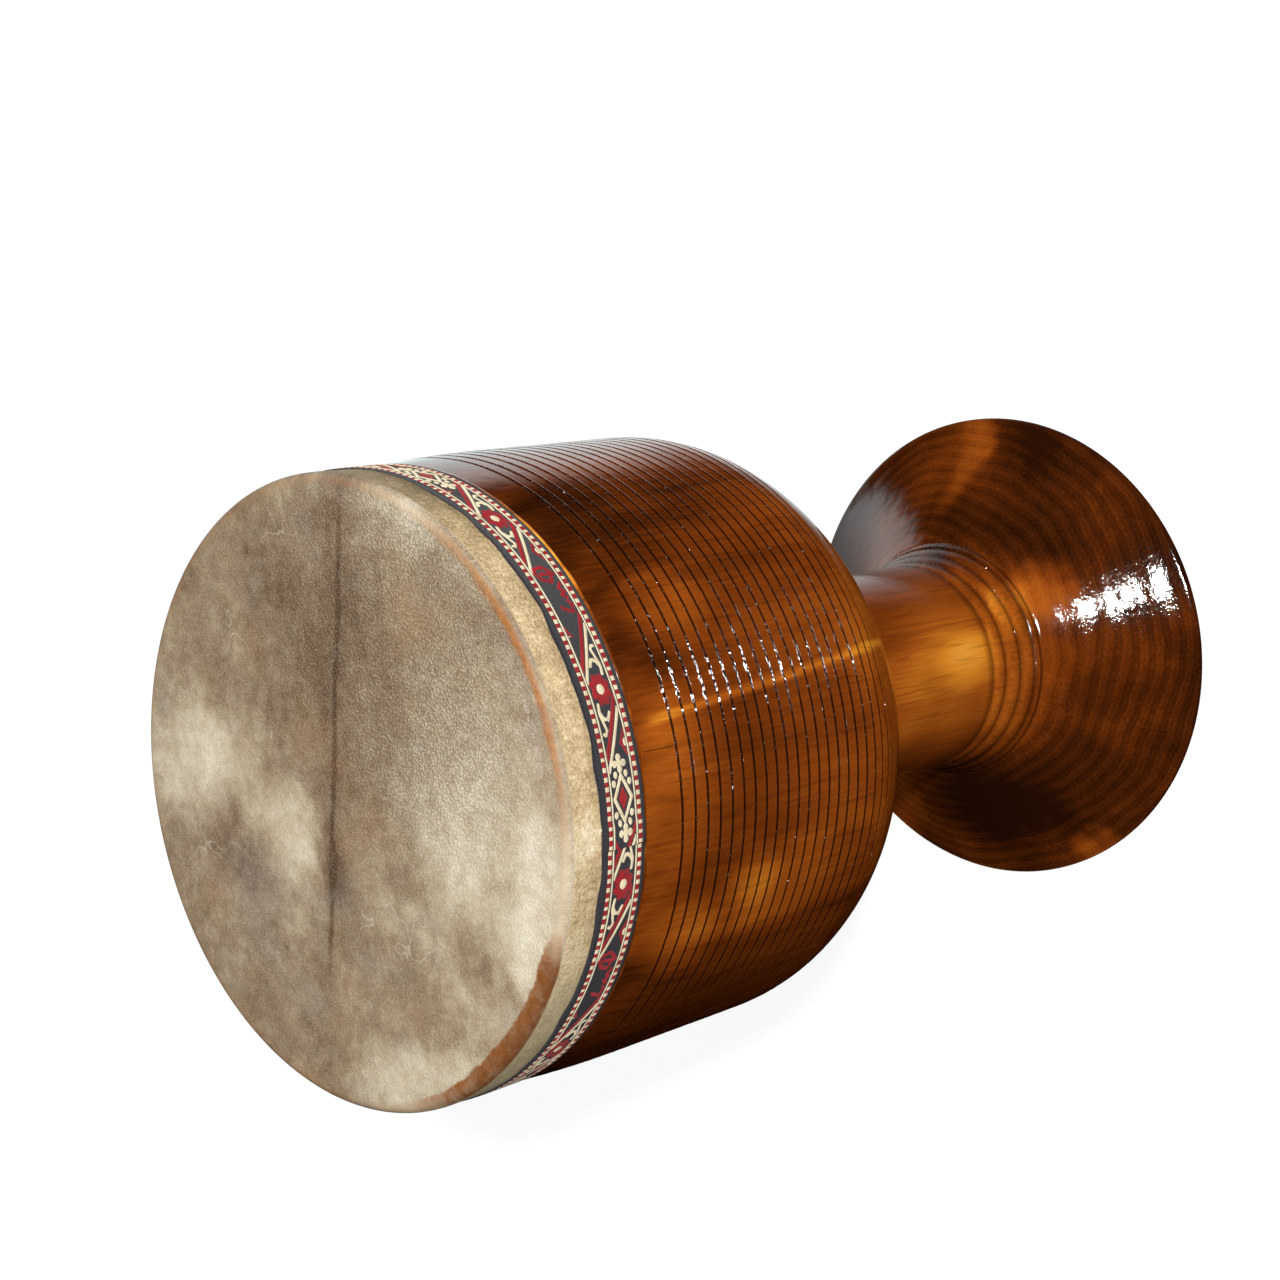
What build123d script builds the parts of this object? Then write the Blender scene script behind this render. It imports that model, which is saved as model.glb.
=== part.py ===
from build123d import *
from math import asin, degrees, sqrt
import os

# A tombak: a wooden goblet drum with a glued skin head, standing on its bell with the head up.
# +Z is the drum's axis. The origin is the centre of the bell's rim, in the plane that it stands on.
# Levels along the axis are given as depths below the head, in millimetres, as a turner marks them.

os.makedirs("parts", exist_ok=True)

# Overall
height = 461.5              # from the bell's rim to the top of the skin
wall = 10.8                 # wood left between the outside and the hollow of the bowl and throat

# Skin head, glued down the outside of the bowl's mouth
skin_thickness = 0.7
skin_radius = 129.4         # outside of the side lap
skin_corner = 3.7           # rounding of the head's edge
lap_depth = 34.0            # where the side lap ends, under the ribbon
glue_thickness = 0.4

# Woven ribbon and the bead of glue along its lower edge
ribbon_top = 17.9
ribbon_width = 22.0
ribbon_thickness = 0.55
ribbon_overlap = 8.0        # its end lapped over its start
ribbon_seam_angle = -94.0   # where that end lies, from +X, in degrees
bead_height = 1.8           # down the bowl from the ribbon's edge

# Bowl
belly_radius = 131.8
belly_depth = 95.0          # where the side has swelled to its full radius
shoulder_depth = 172.0      # where the side turns in towards the throat
shoulder_radius = 69.0
mouth_rounding = 2.0        # inner edge of the mouth

# V-shaped grooves turned into the bowl: a close set down its side, then a pair that leaves a narrow bead
side_grooves = 21
first_groove = 60.0
groove_pitch = 7.15         # at the first groove; each gap is a little smaller than the last
groove_pitch_loss = 0.058
shoulder_grooves = (217.6, 224.0)
groove_depth = 0.8          # and twice as wide, cut square to the surface

# Throat and its rings
throat_radius = 52.4        # at its two ends
throat_waist = 51.9         # at its middle
throat_fillet = 27.6        # between the bowl's underside and the throat
ring_depths = (380.2, 389.2, 398.7, 407.0, 411.0)
ring_swell = 8.2            # how much wider the last ring is than the first
ring_crown = 0.6            # height of a ring's round top above the line of the rings
ring_valley = 0.7           # depth of the valleys below it

# Bell
bell_radius = 123.4
bell_middle = (89.6, 435.2)     # radius and depth of a point halfway down the flare
bell_edge = 3.9                 # height of the rim's upright edge, with its rounding
bell_mouth_radius = 112.5
bore_flare = 40.0               # radius of the bend between the throat's bore and the bell's inside
bell_slope = 1.25               # radius gained per millimetre of depth inside the bell
rim_rounding = 1.2


def at(radius, depth):
    """A point of a section through the axis, from its radius and its depth below the head."""
    return (radius, height - depth)


ribbon_bottom = ribbon_top + ribbon_width
swell_run = belly_depth - ribbon_bottom
swell_rise = belly_radius - skin_radius
swell_radius = (swell_run**2 + swell_rise**2) / (2 * swell_rise)


def bowl_radius(depth):
    """Outer radius of the bowl from the ribbon's lower edge down to its underside."""
    if depth < belly_depth:
        return belly_radius - swell_radius + sqrt(swell_radius**2 - (belly_depth - depth) ** 2)
    if depth < shoulder_depth:
        return belly_radius
    return belly_radius - shoulder_radius + sqrt(shoulder_radius**2 - (depth - shoulder_depth) ** 2)


def surface_lean(depth):
    """How far the bowl's surface leans from upright there, in degrees: nothing above its shoulder."""
    return -degrees(asin(max(depth - shoulder_depth, 0) / shoulder_radius))


def ring_radius(depth):
    """Radius of the line of the throat's rings, which swells towards the bell."""
    share = (depth - ring_depths[0]) / (ring_depths[-1] - ring_depths[0])
    return throat_radius + ring_swell * share**1.5


# The underside of the bowl turns up to a level at its lowest circle, and a fillet of the same centre
# inside and outside leads from there into the throat.
underside_radius = belly_radius - shoulder_radius
fillet_centre = throat_waist + throat_fillet
fillet_share = (fillet_centre - underside_radius) / (shoulder_radius + throat_fillet)
fillet_drop = (shoulder_radius + throat_fillet) * sqrt(1 - fillet_share**2)
fillet_depth = shoulder_depth + fillet_drop


def on_line_of_centres(distance):
    """The point where the shoulder's arc meets the fillet's, that far from the shoulder's centre."""
    return at(underside_radius + distance * fillet_share, shoulder_depth + distance * sqrt(1 - fillet_share**2))


# ---------------------------------------------------------------- shell
seat_radius = skin_radius - skin_thickness - glue_thickness
seat_corner = skin_corner - skin_thickness - glue_thickness
bore_radius = throat_waist - wall
mouth_radius = belly_radius - wall
knee_depth = height - (bell_mouth_radius - bore_radius) / bell_slope

with BuildPart() as shell:
    with BuildSketch(Plane.XZ):
        with BuildLine():
            # outside, from the mouth down to the bell's rim
            mouth_land = at(seat_radius - seat_corner, skin_thickness)
            seat_top = at(seat_radius, skin_thickness + seat_corner)
            RadiusArc(mouth_land, seat_top, seat_corner)
            Polyline(seat_top, at(seat_radius, lap_depth), at(skin_radius, lap_depth), at(skin_radius, ribbon_bottom))
            RadiusArc(at(skin_radius, ribbon_bottom), at(belly_radius, belly_depth), swell_radius)
            Line(at(belly_radius, belly_depth), at(belly_radius, shoulder_depth))
            underside = on_line_of_centres(shoulder_radius)
            RadiusArc(at(belly_radius, shoulder_depth), underside, shoulder_radius)
            throat_top = at(throat_waist, fillet_depth)
            RadiusArc(underside, throat_top, -throat_fillet)
            throat_end = at(throat_radius, ring_depths[0] - ring_valley)
            Line(throat_top, throat_end)
            valleys = [at(ring_radius(depth) - ring_valley, depth) for depth in ring_depths]
            Line(throat_end, valleys[0])
            for upper, lower, start, end in zip(ring_depths, ring_depths[1:], valleys, valleys[1:]):
                middle = (upper + lower) / 2
                ThreePointArc(start, at(ring_radius(middle) + ring_crown, middle), end)
            flare_top = at(ring_radius(ring_depths[-1]) + ring_crown, ring_depths[-1] + ring_valley)
            Line(valleys[-1], flare_top)
            flare_end = at(bell_radius - rim_rounding / 2, height - bell_edge)
            ThreePointArc(flare_top, at(*bell_middle), flare_end)
            rim_shoulder = at(bell_radius, height - bell_edge + rim_rounding)
            rim_foot = at(bell_radius, height - rim_rounding)
            rim_base = at(bell_radius - rim_rounding, height)
            Polyline(flare_end, rim_shoulder, rim_foot)
            RadiusArc(rim_foot, rim_base, rim_rounding)
            # inside, from the bell's mouth back up to the drum's mouth
            bore_top = at(bore_radius, fillet_depth)
            FilletPolyline(rim_base, at(bell_mouth_radius, height), at(bore_radius, knee_depth), bore_top,
                           radius=[2 * rim_rounding, bore_flare])
            inner_underside = on_line_of_centres(shoulder_radius - wall)
            RadiusArc(bore_top, inner_underside, throat_fillet + wall)
            inner_shoulder = at(mouth_radius, shoulder_depth)
            RadiusArc(inner_underside, inner_shoulder, -(shoulder_radius - wall))
            inner_mouth = at(mouth_radius, skin_thickness + mouth_rounding)
            Line(inner_shoulder, inner_mouth)
            inner_land = at(mouth_radius + mouth_rounding, skin_thickness)
            RadiusArc(inner_mouth, inner_land, mouth_rounding)
            Line(inner_land, mouth_land)
        make_face()
    revolve(axis=Axis.Z)

    side_depths = [
        first_groove + groove_pitch * number - groove_pitch_loss * number**2 / 2
        for number in range(side_grooves)
    ]
    with BuildSketch(Plane.XZ):
        for depth in [*side_depths, *shoulder_grooves]:
            with Locations(at(bowl_radius(depth), depth)):
                RegularPolygon(groove_depth, 4, rotation=surface_lean(depth))
    revolve(axis=Axis.Z, mode=Mode.SUBTRACT)

# ---------------------------------------------------------------- skin
with BuildPart() as skin:
    with BuildSketch(Plane.XZ):
        with BuildLine():
            head_edge = at(skin_radius - skin_corner, 0)
            lap_top = at(skin_radius, skin_corner)
            lap_inside = skin_radius - skin_thickness
            Line(at(0, 0), head_edge)
            RadiusArc(head_edge, lap_top, skin_corner)
            inner_lap_top = at(lap_inside, skin_corner)
            Polyline(lap_top, at(skin_radius, lap_depth), at(lap_inside, lap_depth), inner_lap_top)
            inner_edge = at(skin_radius - skin_corner, skin_thickness)
            RadiusArc(inner_lap_top, inner_edge, -(skin_corner - skin_thickness))
            Polyline(inner_edge, at(0, skin_thickness), at(0, 0))
        make_face()
    revolve(axis=Axis.Z)

# ---------------------------------------------------------------- hide glue
with BuildPart() as hide_glue:
    with BuildSketch(Plane.XY.offset(height - lap_depth)):
        Circle(lap_inside)
        Circle(seat_radius, mode=Mode.SUBTRACT)
    extrude(amount=lap_depth - skin_corner)

# ---------------------------------------------------------------- ribbon
ribbon_outside = skin_radius + ribbon_thickness

with BuildPart() as ribbon:
    with BuildSketch(Plane.XZ):
        with Locations(at(skin_radius, ribbon_bottom)):
            Rectangle(ribbon_thickness, ribbon_width, align=Align.MIN)
    revolve(axis=Axis.Z)
    # the lapped end, a second layer over the first
    with BuildSketch(Plane.XZ.rotated((0, 0, ribbon_seam_angle))):
        with Locations(at(ribbon_outside, ribbon_bottom)):
            Rectangle(ribbon_thickness, ribbon_width, align=Align.MIN)
    revolve(axis=Axis.Z, revolution_arc=degrees(ribbon_overlap / ribbon_outside))

# ---------------------------------------------------------------- glue bead
bead_bottom = ribbon_bottom + bead_height

with BuildPart() as glue_bead:
    with BuildSketch(Plane.XZ):
        with BuildLine():
            bead_root = at(skin_radius, ribbon_bottom)
            bead_top = at(ribbon_outside, ribbon_bottom)
            bead_face = at(ribbon_outside, ribbon_bottom + bead_height / 2)
            bead_foot = at(bowl_radius(bead_bottom), bead_bottom)
            Polyline(bead_root, bead_top, bead_face, bead_foot)
            RadiusArc(bead_foot, bead_root, -swell_radius)
        make_face()
    revolve(axis=Axis.Z)

# ---------------------------------------------------------------- files
pieces = {"shell": shell, "skin": skin, "hide_glue": hide_glue, "ribbon": ribbon, "glue_bead": glue_bead}
for name, piece in pieces.items():
    piece.part.label = name
    export_step(piece.part, f"parts/{name}.step")
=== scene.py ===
from math import asin, atan, cos, pi, radians, sin, sqrt, tan

import bmesh
import bpy
import numpy as np
from mathutils import Matrix, Vector


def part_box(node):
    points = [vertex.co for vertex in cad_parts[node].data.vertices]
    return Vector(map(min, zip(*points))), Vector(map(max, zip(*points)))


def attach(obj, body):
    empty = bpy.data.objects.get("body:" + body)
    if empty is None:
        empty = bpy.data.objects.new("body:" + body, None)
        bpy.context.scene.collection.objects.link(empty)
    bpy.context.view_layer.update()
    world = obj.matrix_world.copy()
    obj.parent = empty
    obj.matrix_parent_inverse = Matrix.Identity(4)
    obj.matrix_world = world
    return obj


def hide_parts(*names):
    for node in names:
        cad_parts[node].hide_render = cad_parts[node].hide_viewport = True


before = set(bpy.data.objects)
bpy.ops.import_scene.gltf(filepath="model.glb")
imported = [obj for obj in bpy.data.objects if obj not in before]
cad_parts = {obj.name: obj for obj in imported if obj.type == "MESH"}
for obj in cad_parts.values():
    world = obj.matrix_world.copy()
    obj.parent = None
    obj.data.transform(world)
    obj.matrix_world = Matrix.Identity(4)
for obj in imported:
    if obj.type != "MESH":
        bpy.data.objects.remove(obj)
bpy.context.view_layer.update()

# A tombak: a turned walnut goblet drum with a glued goat-skin head and a woven ribbon round its edge.
# It stands on its bell. Levels along its axis are given as depths below the head, and an angle phi goes
# round the axis from +X by -Y. Both read like the drum lying on its side with +X uppermost.

MM = 0.001
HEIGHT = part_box("skin")[1][2]
HEIGHT_MM = HEIGHT / MM
SKIN_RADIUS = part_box("skin")[1][0]
SKIN_LAP_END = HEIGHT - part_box("skin")[0][2]
RIBBON_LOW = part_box("ribbon")[0][2]
RIBBON_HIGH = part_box("ribbon")[1][2]


# ---------------------------------------------------------------- meshes
def new_object(name, verts, faces, material):
    """A mesh object of the drum, from points and lists of their numbers, which rides on the one body."""
    mesh = bpy.data.meshes.new(name)
    mesh.from_pydata(np.asarray(verts).tolist(), [], [[int(i) for i in face] for face in faces])
    mesh.validate()
    work = bmesh.new()
    work.from_mesh(mesh)
    bmesh.ops.recalc_face_normals(work, faces=work.faces)
    work.to_mesh(mesh)
    work.free()
    mesh.polygons.foreach_set("use_smooth", [True] * len(mesh.polygons))
    mesh.materials.append(material)
    obj = bpy.data.objects.new(name, mesh)
    bpy.context.collection.objects.link(obj)
    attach(obj, "root")
    return obj


def round_points(radii, depths, phi):
    """The points of a section at each angle phi, in metres. Its radii may differ from angle to angle."""
    depths = np.broadcast_to(depths, radii.shape)
    x, y = radii * np.cos(phi)[:, None], -radii * np.sin(phi)[:, None]
    return np.stack([x, y, HEIGHT_MM - depths], axis=-1).reshape(-1, 3) * MM


def round_faces(turns, count, closed=True):
    """Quads between the points of a section turned all the way round, closed or open at its two ends."""
    row = np.arange(turns)[:, None]
    column = np.arange(count if closed else count - 1)[None, :]
    here, there, step = row * count, ((row + 1) % turns) * count, (column + 1) % count
    return np.stack([here + column, here + step, there + step, there + column], axis=-1).reshape(-1, 4)


def arc(centre, radius, start, end, count):
    """Points of a section's arc between two angles in degrees, with radius outwards and depth downwards."""
    angle = np.radians(np.linspace(start, end, count))
    return [(centre[0] + radius * cos(a), centre[1] + radius * sin(a)) for a in angle]


def through(first, middle, last, count):
    """Points of the arc through three points of a section."""
    (ax, ay), (bx, by), (cx, cy) = first, middle, last
    d = 2 * (ax * (by - cy) + bx * (cy - ay) + cx * (ay - by))
    ux = ((ax**2 + ay**2) * (by - cy) + (bx**2 + by**2) * (cy - ay) + (cx**2 + cy**2) * (ay - by)) / d
    uy = ((ax**2 + ay**2) * (cx - bx) + (bx**2 + by**2) * (ax - cx) + (cx**2 + cy**2) * (bx - ax)) / d
    start, mid, end = (np.arctan2(y - uy, x - ux) for x, y in (first, middle, last))
    turn = (end - start + pi) % (2 * pi) - pi
    if not 0 < (mid - start) / turn < 1:
        turn -= 2 * pi * np.sign(turn)
    radius = sqrt((ax - ux) ** 2 + (ay - uy) ** 2)
    angles = [start + turn * t for t in np.linspace(0, 1, count)]
    return [(ux + radius * cos(a), uy + radius * sin(a)) for a in angles]


# ---------------------------------------------------------------- materials
class Paint:
    """Short calls that add nodes to one material.

    Its patterns come from the object's own coordinates and from attributes of its mesh."""

    def __init__(self, name, material=None):
        self.material = material or bpy.data.materials.new(name)
        self.material.use_nodes = True
        self.tree = self.material.node_tree
        self.shader = self.tree.nodes["Principled BSDF"]
        self.place = self.tree.nodes.new("ShaderNodeTexCoord").outputs["Object"]
        self.x, self.y, self.z = self.split(self.place)

    def node(self, kind, inputs=(), **settings):
        made = self.tree.nodes.new(kind)
        for key, value in settings.items():
            setattr(made, key, value)
        for key, value in dict(inputs).items():
            self.feed(made.inputs[key], value)
        return made

    def feed(self, socket, value):
        if isinstance(value, bpy.types.NodeSocket):
            self.tree.links.new(value, socket)
        else:
            socket.default_value = value

    def split(self, vector):
        return self.node("ShaderNodeSeparateXYZ", {0: vector}).outputs[:3]

    def math(self, operation, *values, clamp=False):
        inputs = dict(enumerate(values))
        return self.node("ShaderNodeMath", inputs, operation=operation, use_clamp=clamp).outputs[0]

    def add(self, *values):
        total = values[0]
        for value in values[1:]:
            total = self.math("ADD", total, value)
        return total

    def times(self, *values):
        total = values[0]
        for value in values[1:]:
            total = self.math("MULTIPLY", total, value)
        return total

    def scaled(self, vector, factors):
        return self.node("ShaderNodeVectorMath", {0: vector, 1: factors}, operation="MULTIPLY").outputs[0]

    def shifted(self, vector, other):
        return self.node("ShaderNodeVectorMath", {0: vector, 1: other}, operation="ADD").outputs[0]

    def noise(self, vector, scale, detail=2.0, rough=0.5):
        """Perlin noise of about 0 to 1, with its features one over scale metres apart."""
        return self.node("ShaderNodeTexNoise", {"Vector": vector, "Scale": scale, "Detail": detail,
                                                "Roughness": rough}).outputs[0]

    def noises(self, vector, scale, detail=2.0):
        """A colour of three noises, each centred on zero, for bending other coordinates."""
        made = self.node("ShaderNodeTexNoise", {"Vector": vector, "Scale": scale, "Detail": detail})
        return self.shifted(made.outputs[1], (-0.5, -0.5, -0.5))

    def cells(self, vector, scale):
        return self.node("ShaderNodeTexVoronoi", {"Vector": vector, "Scale": scale})

    def distance(self, x, y):
        return self.math("SQRT", self.add(self.times(x, x), self.times(y, y)))

    def attribute(self, name):
        return self.node("ShaderNodeAttribute", attribute_name=name).outputs["Fac"]

    def step(self, value, low, high, start=0.0, end=1.0):
        """A smooth step from start, where value is low, to end, where it is high."""
        inputs = {"Value": value, "From Min": low, "From Max": high, "To Min": start, "To Max": end}
        return self.node("ShaderNodeMapRange", inputs, interpolation_type="SMOOTHSTEP").outputs[0]

    def turned(self):
        """The angle phi round the axis, in degrees, from -110 to 250, so that it jumps where no mark is."""
        phi = self.math("ARCTAN2", self.times(self.y, -1.0), self.x)
        return self.math("WRAP", self.times(phi, 180 / pi), 250.0, -110.0)

    def bell(self, value, centre, width):
        """1 where value is at centre, falling smoothly to 0 a width away from it."""
        away = self.math("ABSOLUTE", self.add(value, -centre))
        return self.step(away, 0.0, width, 1.0, 0.0)

    def spot(self, u, v, centre, half, soft=0.5):
        """1 inside an ellipse of two half sizes, falling to 0 outside it over the soft share of its size."""
        across = self.math("DIVIDE", self.add(u, -centre[0]), half[0])
        along = self.math("DIVIDE", self.add(v, -centre[1]), half[1])
        away = self.distance(across, along)
        return self.step(away, 1 - soft, 1 + soft, 1.0, 0.0)

    def mix(self, share, first, second):
        """The first colour where share is 0, and the second where it is 1."""
        made = self.node("ShaderNodeMix", data_type="RGBA")
        for index, value in ((0, share), (6, first), (7, second)):
            self.feed(made.inputs[index], value)
        return made.outputs[2]

    def ramp(self, value, stops):
        """Colours along a value from 0 to 1, from a list of (place, colour) in order."""
        made = self.node("ShaderNodeValToRGB", {0: value})
        elements = made.color_ramp.elements
        elements[0].position, elements[0].color = stops[0]
        elements[1].position, elements[1].color = stops[-1]
        for place, colour in stops[1:-1]:
            elements.new(place).color = colour
        return made.outputs[0]

    def bump(self, height, distance):
        """The normal of a surface raised by height times distance, in metres."""
        return self.node("ShaderNodeBump", {"Height": height, "Distance": distance}).outputs[0]

    def finish(self, **sockets):
        """Sets the shader's own sockets, named with spaces as underscores."""
        for key, value in sockets.items():
            self.feed(self.shader.inputs[key.replace("_", " ")], value)
        return self.material


def linear(red, green, blue):
    """A colour given as it looks on a screen, from 0 to 255, in the renderer's linear light."""
    shares = [c / 255 / 12.92 if c <= 10 else ((c / 255 + 0.055) / 1.055) ** 2.4 for c in (red, green, blue)]
    return (*shares, 1.0)


def walnut():
    """Figured walnut under gloss lacquer: growth rings about a bent pith, stretched along the drum's axis."""
    p = Paint("walnut_lacquered")
    depth = p.math("SUBTRACT", HEIGHT, p.z)
    phi = p.turned()
    radius = p.distance(p.x, p.y)

    # the figure: rings bent by slow noise, and pores drawn out along the grain
    along = p.scaled(p.place, (1.0, 1.0, 0.22))
    bend = p.noises(along, 9.0, 3.0)
    bent = p.shifted(p.place, p.scaled(bend, (0.026, 0.026, 0.0)))
    bx, by, _ = p.split(bent)
    pith = (0.010, 0.006)
    ring_x, ring_y = p.add(bx, -pith[0]), p.add(by, -pith[1])
    ring = p.distance(ring_x, ring_y)
    waves = p.math("SINE", p.times(ring, 2 * pi / 0.0064))
    waves = p.step(waves, -1.0, 1.0)
    fine_waves = p.step(p.math("SINE", p.times(ring, 2 * pi / 0.0021)), -1.0, 1.0)
    cloud = p.noise(along, 16.0, 4.0, 0.55)
    broad = p.noise(p.shifted(along, (3.1, 1.7, 0.4)), 7.0, 2.0, 0.5)
    fibre = p.noise(p.scaled(p.place, (1.0, 1.0, 0.035)), 900.0, 3.0, 0.6)
    pores = p.noise(p.scaled(p.place, (1.0, 1.0, 0.06)), 420.0, 2.0, 0.5)

    # how light the wood is, from 0 for dark heartwood to 1 for gold; a painted sheen line and a painted
    # shadow on the bell are added into it
    warp = p.noises(along, 22.0, 3.0)
    wx, wy, _ = p.split(warp)
    u = p.add(phi, p.times(wx, 26.0))
    v = p.add(depth, p.times(wy, 0.040))
    light = p.add(0.30, p.times(p.add(cloud, -0.5), 0.55), p.times(p.add(broad, -0.5), 0.40),
                  p.times(p.add(waves, -0.5), 0.05), p.times(p.add(fine_waves, -0.5), 0.025))
    bowl = (
        # phi, depth, half sizes in both, gain
        (42, 0.055, 26, 0.034, -0.20),
        (34, 0.100, 10, 0.070, -0.14),
        (92, 0.052, 12, 0.026, 0.08),
        (80, 0.051, 8, 0.012, 0.11),
        (60, 0.074, 7, 0.020, 0.22),
        (44, 0.120, 9, 0.036, -0.10),
        (80, 0.196, 34, 0.016, 0.14),
        (112, 0.108, 6, 0.014, 0.22),
        (118, 0.072, 6, 0.016, 0.16),
        (114, 0.130, 7, 0.026, 0.14),
        (104, 0.160, 9, 0.030, 0.12),
        (88, 0.100, 12, 0.024, -0.06),
        (195, 0.110, 28, 0.060, 0.22),
        (-60, 0.150, 26, 0.060, 0.22),
    )
    throat_and_bell = (
        (92, 0.350, 34, 0.040, 0.34),
        (84, 0.362, 12, 0.020, 0.20),
        (104, 0.292, 24, 0.030, 0.22),
        (112, 0.395, 24, 0.016, 0.16),
        (-50, 0.330, 30, 0.050, 0.30),
        (62, 0.3955, 14, 0.006, 0.30),
        (62, 0.416, 12, 0.012, 0.30),
        (2, 0.396, 26, 0.016, -0.18),
        (100, 0.432, 17, 0.026, 0.13),
        (22, 0.432, 26, 0.030, -0.12),
        (0, 0.450, 5, 0.024, 0.17),
        # painted shadow of the bowl and throat on the bell's underside
        (172, 0.415, 24, 0.026, -0.20),
        (151, 0.457, 5, 0.008, 0.26),
        (225, 0.440, 14, 0.030, 0.22),
    )
    for centre_phi, centre_depth, half_phi, half_depth, gain in bowl + throat_and_bell:
        mark = p.spot(u, v, (centre_phi, centre_depth), (half_phi, half_depth), 0.65)
        light = p.add(light, p.times(mark, gain))
    # painted sheen: a thin golden line down the bowl, a little slanted, where the key light's highlight runs
    slant = p.add(phi, p.times(wx, 5.0), p.times(depth, 34.5))
    painted_sheen = p.times(p.bell(slant, 80.5, 1.5), p.step(depth, 0.040, 0.060),
                     p.step(depth, 0.20, 0.235, 1.0, 0.0))
    light = p.add(light, p.times(painted_sheen, 0.25))
    heart = p.times(p.step(p.add(phi, p.times(wx, 9.0)), 118.5, 122.5), p.step(phi, 165.0, 195.0, 1.0, 0.0))
    light = p.add(light, p.times(heart, p.step(depth, 0.190, 0.240, -0.24, 0.0)),
                  p.times(p.step(depth, 0.405, 0.425), -0.18))
    light = p.add(light, p.times(p.add(fibre, -0.5), 0.24))
    colour = p.ramp(p.math("ADD", light, 0.0, clamp=True), [
        (0.0, linear(38, 15, 4)), (0.12, linear(70, 29, 5)), (0.30, linear(118, 54, 12)),
        (0.50, linear(158, 81, 21)), (0.74, linear(210, 131, 37)), (1.0, linear(238, 172, 72))])
    dark_pores = p.times(p.step(pores, 0.36, 0.44, 0.20, 0.0), p.step(depth, 0.40, 0.42, 1.0, 0.35))
    colour = p.mix(dark_pores, colour, linear(30, 10, 4))

    # a fine crack below the ribbon, the grooves and the ring valleys painted near black, and the paler wood
    # inside
    crack = p.times(p.bell(p.add(phi, p.times(wy, 0.6)), 83.2, 0.22), p.step(depth, 0.042, 0.045),
                    p.step(depth, 0.057, 0.060, 1.0, 0.0))
    colour = p.mix(p.times(crack, 0.7), colour, linear(40, 14, 5))
    groove = p.attribute("groove")
    colour = p.mix(p.times(groove, 0.93), colour, linear(14, 6, 3))
    inside = p.attribute("inside")
    colour = p.mix(p.times(inside, 0.45), colour, linear(90, 52, 26))

    # the lacquer: slow ripples, dust, torn grain in the cuts, and on the bell orange peel and turning marks
    ripple = p.noise(p.place, 60.0, 2.0, 0.5)
    dust = p.noise(p.place, 1500.0, 2.0, 0.6)
    lip = p.attribute("lip")
    chips = p.noise(p.scaled(p.place, (1.0, 1.0, 0.3)), 560.0, 1.0, 0.5)
    worked = p.math("MAXIMUM", groove, lip)
    torn = p.times(p.add(p.step(chips, 0.44, 0.56), p.times(chips, 0.7)), worked)
    # in the cuts it stands in small beads, with bare wood between them
    beads = p.noise(p.scaled(p.place, (1.0, 1.0, 0.3)), 950.0, 1.0, 0.5)
    dull = p.times(p.step(beads, 0.47, 0.55, 1.0, 0.0), worked)
    orange = p.add(p.noise(p.place, 260.0, 2.0, 0.6), p.times(p.noise(p.place, 900.0, 2.0, 0.6), 0.35))
    peel = p.times(orange, p.step(depth, 0.414, 0.424))
    front = p.times(p.step(phi, 12.0, 45.0), p.step(phi, 190.0, 230.0, 1.0, 0.0))
    turning = p.times(p.math("SINE", p.add(p.times(radius, 2 * pi / 0.0135), p.times(wx, 6.0), 0.6)),
                      p.step(depth, 0.418, 0.428))
    normal = p.bump(p.add(p.times(fibre, 0.4), p.times(dust, 0.2)), 0.00006)
    coat_normal = p.bump(p.add(ripple, p.times(dust, 0.09), p.times(torn, 0.75),
                               p.times(front, p.add(p.times(peel, 0.40), p.times(turning, 0.28)))), 0.0003)
    rough = p.add(0.42, p.times(inside, 0.2), p.times(groove, 0.4))
    return p.finish(Base_Color=colour, Roughness=rough, Normal=normal,
                    Coat_Weight=p.add(1.0, p.times(dull, -0.9)), Coat_Roughness=0.07, Coat_IOR=1.52,
                    Coat_Normal=coat_normal, Specular_IOR_Level=0.0)


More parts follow.
